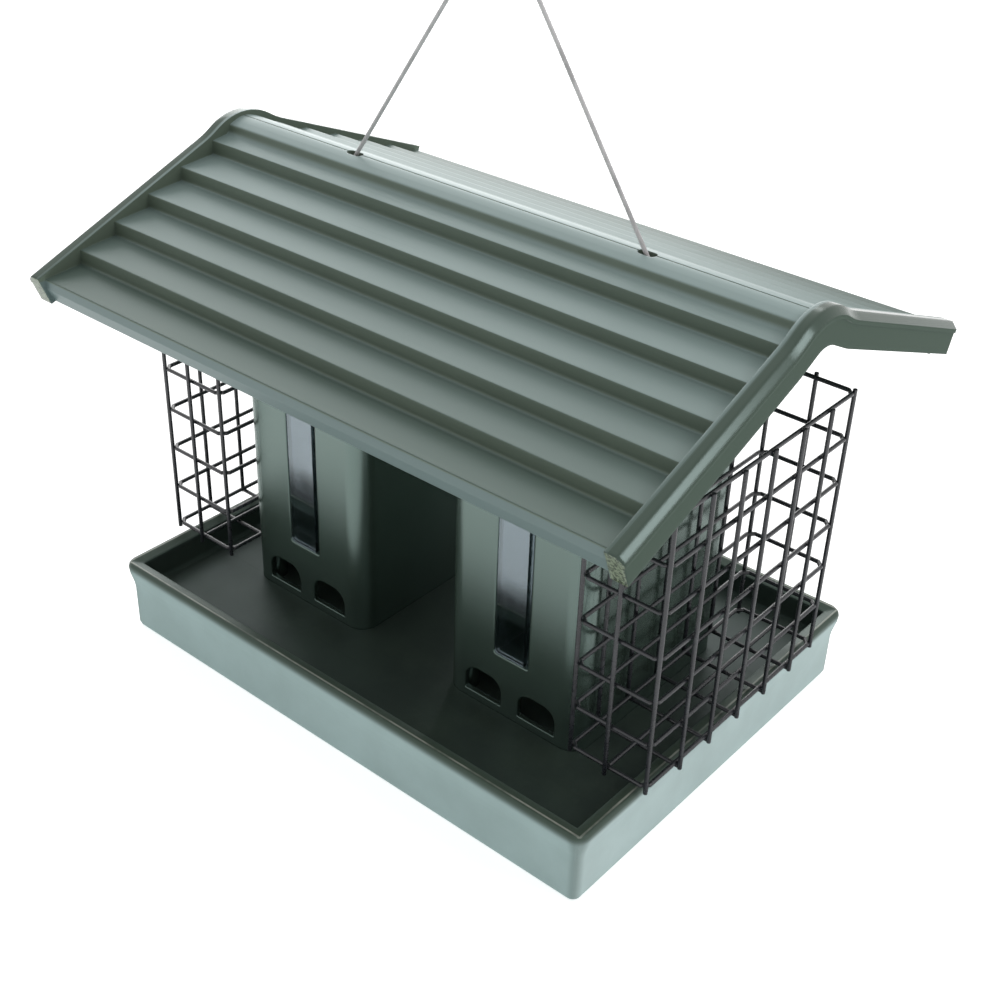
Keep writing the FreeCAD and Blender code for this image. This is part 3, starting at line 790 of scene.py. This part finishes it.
@dataclass
class RouteSpline:
    """Smooth line that follows a few control points, read in a number of steps for each."""

    points: Sequence[Point]
    steps: int
    order: int = 3

    def trace(self) -> list[Vector]:
        """Read the line's own points.

        Returns:
            Points along the line, from its start to its end.
        """
        curve = bpy.data.curves.new("route", "CURVE")
        curve.dimensions = "3D"
        spline = curve.splines.new("NURBS")
        spline.points.add(len(self.points) - 1)
        for knot, place in zip(spline.points, self.points):
            knot.co = (*place, 1.0)
        spline.order_u = self.order
        spline.use_endpoint_u = True
        spline.resolution_u = self.steps
        holder = bpy.data.objects.new("route", curve)
        bpy.context.scene.collection.objects.link(holder)
        graph = bpy.context.evaluated_depsgraph_get()
        line = bpy.data.meshes.new_from_object(holder.evaluated_get(graph))
        track = [vertex.co.copy() for vertex in line.vertices]
        bpy.data.objects.remove(holder)
        bpy.data.curves.remove(curve)
        bpy.data.meshes.remove(line)
        return track


@dataclass
class LaidTube:
    """Skin of a twisted cord along a traced line."""

    radius: float
    strands: int = 3
    groove: float = 0.1
    lay: float = 0.0085
    around: int = 18

    def skin(self, name: str, track: Sequence[Vector], material: bpy.types.Material) -> bpy.types.Object:
        """Build the tube, with a UV map that runs round and along it.

        Args:
            name: Name of the piece.
            track: Points to follow.
            material: Finish of the cord.

        Returns:
            The finished piece.
        """
        corners: list[Vector] = []
        lengths: list[float] = []
        travelled = 0.0
        side = self._first_side(track)
        for index, here in enumerate(track):
            ahead = track[min(index + 1, len(track) - 1)] - track[max(index - 1, 0)]
            ahead.normalize()
            side = (side - ahead * side.dot(ahead)).normalized()
            travelled += (here - track[index - 1]).length if index else 0.0
            lengths.append(travelled)
            corners += self._ring(here, side, ahead.cross(side), travelled)
        mesh = bpy.data.meshes.new(name)
        mesh.from_pydata(corners, [], self._faces(len(track)))
        self._unwrap(mesh, lengths)
        mesh.polygons.foreach_set("use_smooth", [True] * len(mesh.polygons))
        mesh.materials.append(material)
        piece = bpy.data.objects.new(name, mesh)
        bpy.context.scene.collection.objects.link(piece)
        return piece

    @staticmethod
    def _first_side(track: Sequence[Vector]) -> Vector:
        """Direction square to the start of a line."""
        ahead = (track[1] - track[0]).normalized()
        return ahead.cross(Vector((0.0, 1.0, 0.0))).normalized()

    def _ring(self, middle: Vector, side: Vector, other: Vector, travelled: float) -> list[Vector]:
        """One section of the tube, its strands turned by the lay.

        Args:
            middle: Middle of the section.
            side: First direction across.
            other: Second direction across.
            travelled: Length of cord before the section.

        Returns:
            Corners of the section.
        """
        turn = math.tau * travelled / self.lay
        ring = []
        for step in range(self.around):
            angle = math.tau * step / self.around
            swell = abs(math.cos(self.strands / 2 * (angle - turn)))
            reach = self.radius * (1 - self.groove + self.groove * swell)
            ring.append(middle + side * (reach * math.cos(angle)) + other * (reach * math.sin(angle)))
        return ring

    def _faces(self, rings: int) -> list[tuple[int, ...]]:
        """Side faces and closed ends.

        Args:
            rings: Number of sections.

        Returns:
            Corner numbers of each face.
        """
        faces: list[tuple[int, ...]] = []
        for ring in range(rings - 1):
            start = ring * self.around
            for step in range(self.around):
                following = (step + 1) % self.around
                faces.append((start + step, start + following,
                              start + self.around + following, start + self.around + step))
        last = (rings - 1) * self.around
        faces.append(tuple(reversed(range(self.around))))
        faces.append(tuple(range(last, last + self.around)))
        return faces

    def _unwrap(self, mesh: bpy.types.Mesh, lengths: Sequence[float]) -> None:
        """Write the UV map: U round the cord, V in turns of the lay.

        Args:
            mesh: Mesh of the tube.
            lengths: Length of cord at each section.
        """
        layer = mesh.uv_layers.new(name=CORD_MAP)
        for face in mesh.polygons:
            steps = [mesh.loops[loop].vertex_index % self.around for loop in face.loop_indices]
            wraps = max(steps) - min(steps) > self.around / 2
            for loop, step in zip(face.loop_indices, steps):
                ring = mesh.loops[loop].vertex_index // self.around
                turn = step + (self.around if wraps and step < self.around / 2 else 0)
                layer.data[loop].uv = (turn / self.around, lengths[ring] / self.lay)


@dataclass
class HangingCord:
    """Cord from one silo, up through the ridge, over its bight and down to the other silo.

    The turns of its stopper knots are in cord radii: along the cord, across the feeder and square to both.
    """

    radius: float = 0.001
    knot_out: float = 0.11095
    knot_up: float = 0.20697
    foot_out: float = 0.086
    foot_up: float = 0.2435
    run_out: float = 0.00836
    run_up: float = 0.35717
    apex_up: float = 0.3661
    free_from: float = 0.2145
    held_from: float = 0.2425
    steps: int = 96
    knot_steps: int = 14
    knot_turns: tuple[Point, ...] = (
        (-0.6, 0.2, 0.0), (0.7, 1.3, 0.6), (1.0, 0.0, 1.7), (-0.2, -1.6, 1.1), (-0.9, -1.4, -0.8),
        (-0.2, 0.5, -1.8), (0.8, 1.6, -0.7), (0.5, 1.0, 1.2), (-0.7, -0.8, 1.4), (0.5, -1.3, -0.5),
        (1.2, -0.2, -0.3))

    def route(self) -> list[Point]:
        """Control points of the cord's line.

        Returns:
            Points from the left knot to the right knot.
        """
        half = [(self.knot_out, self.knot_up), (self.foot_out, self.foot_up), (self.run_out, self.run_up)]
        left = [(-out, 0.0, up) for out, up in half]
        right = [(out, 0.0, up) for out, up in reversed(half)]
        return left + [(0.0, 0.0, self.apex_up)] + right

    def build(self, material: bpy.types.Material) -> bpy.types.Object:
        """Make the cord and its two stopper knots.

        Args:
            material: Finish of the cord.

        Returns:
            The cord.
        """
        track = RouteSpline(self.route(), self.steps).trace()
        cord = LaidTube(self.radius).skin("hanging_cord", track, material)
        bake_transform(cord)
        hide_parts("cord_loop", "cord_end_left", "cord_end_right")
        knots = [self.knot(side, material) for side in Side]
        return cord

    def knot(self, side: Side, material: bpy.types.Material) -> bpy.types.Object:
        """Tie one stopper knot outside a silo wall.

        Args:
            side: End of the feeder.
            material: Finish of the cord.

        Returns:
            The knot.
        """
        along = Vector((self.knot_out - self.foot_out, 0.0, self.knot_up - self.foot_up)).normalized()
        across = Vector((0.0, 1.0, 0.0))
        third = along.cross(across)
        middle = Vector((self.knot_out, 0.0, self.knot_up))
        points = [middle + (along * a + across * b + third * c) * self.radius for a, b, c in self.knot_turns]
        placed = [(side.value * point.x, point.y, point.z) for point in points]
        track = RouteSpline(placed, self.knot_steps).trace()
        piece = LaidTube(self.radius).skin("stopper_knot_" + side.label, track, material)
        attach(piece, Body.BASE.value)
        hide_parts("cord_knot_" + side.label)
        LOG.info("stopper knot, %s", side.label)
        return piece


@dataclass
class Mouldings:
    """Roof, tray and the two silos with their windows."""

    effects: SharedEffects

    def dress(self) -> None:
        """Give each moulding its finish."""
        finishes = {
            "roof": RoofPlastic("roof_plastic", tone=(0.116, 0.147, 0.111), shade=(0.101, 0.129, 0.097),
                                roughness=0.45, edge_round=0.001),
            "tray": TrayPlastic("tray_plastic", roughness=0.5, edge_round=0.0022),
            "silo": MouldedPlastic("silo_plastic", tone=(0.032, 0.047, 0.037), shade=(0.026, 0.039, 0.03),
                                   roughness=0.25, index=2.3, dust_share=0.05, rub=0.015,
                                   glint=(0.75, 1.0, 0.93)),
            "window": ClearSheet(),
        }
        built = {key: finish.build(self.effects) for key, finish in finishes.items()}
        for name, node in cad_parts.items():
            key = name.split("_")[0]
            if key in built and not name.startswith("silo_screws"):
                paint(node, built[key])
                LOG.info("%s takes %s", name, built[key].name)


@dataclass
class Metalwork:
    """Suet cages with their hooks and nuts, and the silo screws."""

    effects: SharedEffects

    def dress(self) -> None:
        """Give the wires and the small fittings their finishes."""
        wire = CoatedWire().build(self.effects)
        zinc = ZincSteel().build(self.effects)
        for name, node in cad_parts.items():
            if name.startswith(("silo_screws", "cage_hooks", "hook_nuts")):
                paint(node, zinc)
                LOG.info("%s takes %s", name, zinc.name)
            elif name.startswith("cage_"):
                paint(node, wire)
                LOG.info("%s takes %s", name, wire.name)


def paint(piece: bpy.types.Object, material: bpy.types.Material) -> None:
    """Put a finish in every material slot of a piece.

    Args:
        piece: Object to paint.
        material: Its finish.
    """
    for slot in piece.material_slots:
        slot.material = material


@dataclass
class PhotographCamera:
    """Camera that stands where the photograph was taken."""

    place: Point = (0.40027, -0.47993, 0.48928)
    target: Point = (0.01469, -0.00447, 0.1)
    roll: float = 0.0373
    lens: float = 53.86
    sensor: float = 36.0
    nearest: float = 0.01
    farthest: float = 50.0

    def build(self) -> bpy.types.Object:
        """Make the camera and use it.

        Returns:
            The camera.
        """
        data = bpy.data.cameras.new("photograph")
        data.lens = self.lens
        data.sensor_width = self.sensor
        data.clip_start = self.nearest
        data.clip_end = self.farthest
        camera = bpy.data.objects.new("photograph", data)
        bpy.context.scene.collection.objects.link(camera)
        ahead = (Vector(self.target) - Vector(self.place)).normalized()
        right = ahead.cross(Vector((0.0, 0.0, 1.0))).normalized()
        upward = right.cross(ahead)
        turned_right = right * math.cos(self.roll) + upward * math.sin(self.roll)
        turned_up = upward * math.cos(self.roll) - right * math.sin(self.roll)
        turn = Matrix((turned_right, turned_up, -ahead)).transposed().to_4x4()
        camera.matrix_world = Matrix.Translation(self.place) @ turn
        bpy.context.scene.camera = camera
        LOG.info("camera with a %.1f mm lens", self.lens)
        return camera


@dataclass(frozen=True)
class SoftLamp:
    """Square soft lamp that faces the feeder, with its power in watts."""

    name: str
    place: Point
    size: float
    power: float
    target: Point = (0.0, 0.0, 0.15)

    def hang(self) -> None:
        """Add the lamp to the scene."""
        data = bpy.data.lights.new(self.name, "AREA")
        data.shape = "SQUARE"
        data.size = self.size
        data.energy = self.power
        lamp = bpy.data.objects.new(self.name, data)
        bpy.context.scene.collection.objects.link(lamp)
        lamp.location = self.place
        lamp.rotation_mode = "QUATERNION"
        lamp.rotation_quaternion = (Vector(self.target) - Vector(self.place)).to_track_quat("-Z", "Y")


@dataclass
class Studio:
    """White shooting table under soft light."""

    lamps: tuple[SoftLamp, ...] = (
        SoftLamp("back_left", place=(-1.5, 1.4, 0.8), size=1.7, power=25.0),
        SoftLamp("right", place=(1.7, 0.4, 1.5), size=0.55, power=7.0))
    floor_size: float = 8.0
    floor_drop: float = 0.0004
    floor_white: float = 0.7
    floor_glow: float = 0.65
    shade_reach: Span = (0.044, 0.069)
    shade_left: float = 0.12
    table_light: float = 0.9
    table_tint: Colour = (0.88, 0.98, 1.0)
    sky_dim: float = 0.19
    sky_bright: float = 1.14
    sky_from: Point = (-0.45, 0.5, 0.74)
    sky_span: Span = (-0.4, 0.9)

    def build(self) -> None:
        """Make the floor, the world and the lamps."""
        self._floor()
        self._world()
        for lamp in self.lamps:
            lamp.hang()
        LOG.info("studio ready")

    @staticmethod
    def _seen(board: NodeBoard, rays: bpy.types.Node) -> Socket:
        """Mask of the rays that show the surroundings: straight, mirrored or through a window.

        Args:
            board: Board to add nodes to.
            rays: Light Path node of the same board.

        Returns:
            The mask.
        """
        seen = board.math("MAXIMUM", rays.outputs["Is Camera Ray"], rays.outputs["Is Glossy Ray"])
        return board.math("MAXIMUM", seen, rays.outputs["Is Transmission Ray"])

    def _floor(self) -> None:
        """White table that lights the feeder from below and mirrors darker in its shadow round the tray."""
        bpy.ops.object.select_all(action="DESELECT")
        bpy.ops.mesh.primitive_plane_add(size=self.floor_size, location=(0.0, 0.0, -self.floor_drop))
        floor = bpy.context.active_object
        floor.name = "floor"
        board, material = NodeBoard.for_material("white_table")
        rays = board.add("LightPath")
        seen = self._seen(board, rays)
        spot = board.add("SeparateXYZ", {0: board.add("TexCoord").outputs["Object"]})
        past_end = board.math("SUBTRACT", board.math("ABSOLUTE", spot.outputs["X"]), TRAY_HALF_LENGTH)
        past_side = board.math("SUBTRACT", board.math("ABSOLUTE", spot.outputs["Y"]), TRAY_HALF_WIDTH)
        away = board.math("MAXIMUM", past_end, past_side)
        # painted shadow: mirrored rays see the table darker in a ring round the tray
        shade = board.ramp(away, self.shade_reach, self.shade_left, 1.0)
        shade = board.choose(rays.outputs["Is Glossy Ray"], 1.0, shade)
        strength = board.product(board.choose(seen, self.table_light, self.floor_glow), shade)
        tint = board.mix(seen, self.table_tint, WHITE)
        matt = board.add("BsdfDiffuse", {"Color": board.product(shade, self.floor_white)})
        glow = board.add("Emission", {"Color": tint, "Strength": strength})
        board.close(board.add("AddShader", {0: matt.outputs[0], 1: glow.outputs[0]}))
        floor.data.materials.append(material)

    def _world(self) -> None:
        """White surroundings that light the feeder from above and behind, and less from the front."""
        world = bpy.data.worlds.new("tent")
        world.use_nodes = True
        world.node_tree.nodes.clear()
        board = NodeBoard(world.node_tree)
        seen = self._seen(board, board.add("LightPath"))
        outlook = board.add("TexCoord").outputs["Generated"]
        toward = board.add("VectorMath", {0: outlook, 1: self.sky_from}, operation="DOT_PRODUCT")
        light = board.ramp(toward.outputs["Value"], self.sky_span, self.sky_dim, self.sky_bright)
        tent = board.add("Background", {"Color": WHITE, "Strength": board.choose(seen, light, 1.0)})
        output = board.add("OutputWorld")
        board.feed(output.inputs["Surface"], tent.outputs[0])
        bpy.context.scene.world = world


def main() -> None:
    """Build the camera, the cord, the finishes and the studio."""
    logging.basicConfig(level=logging.INFO, format="%(name)s: %(message)s")
    bpy.context.scene.view_settings.view_transform = "Standard"
    effects = SharedEffects()
    PhotographCamera().build()
    HangingCord().build(LaidCord().build(effects))
    Mouldings(effects).dress()
    Metalwork(effects).dress()
    Studio().build()


if __name__ == "__main__":
    main()
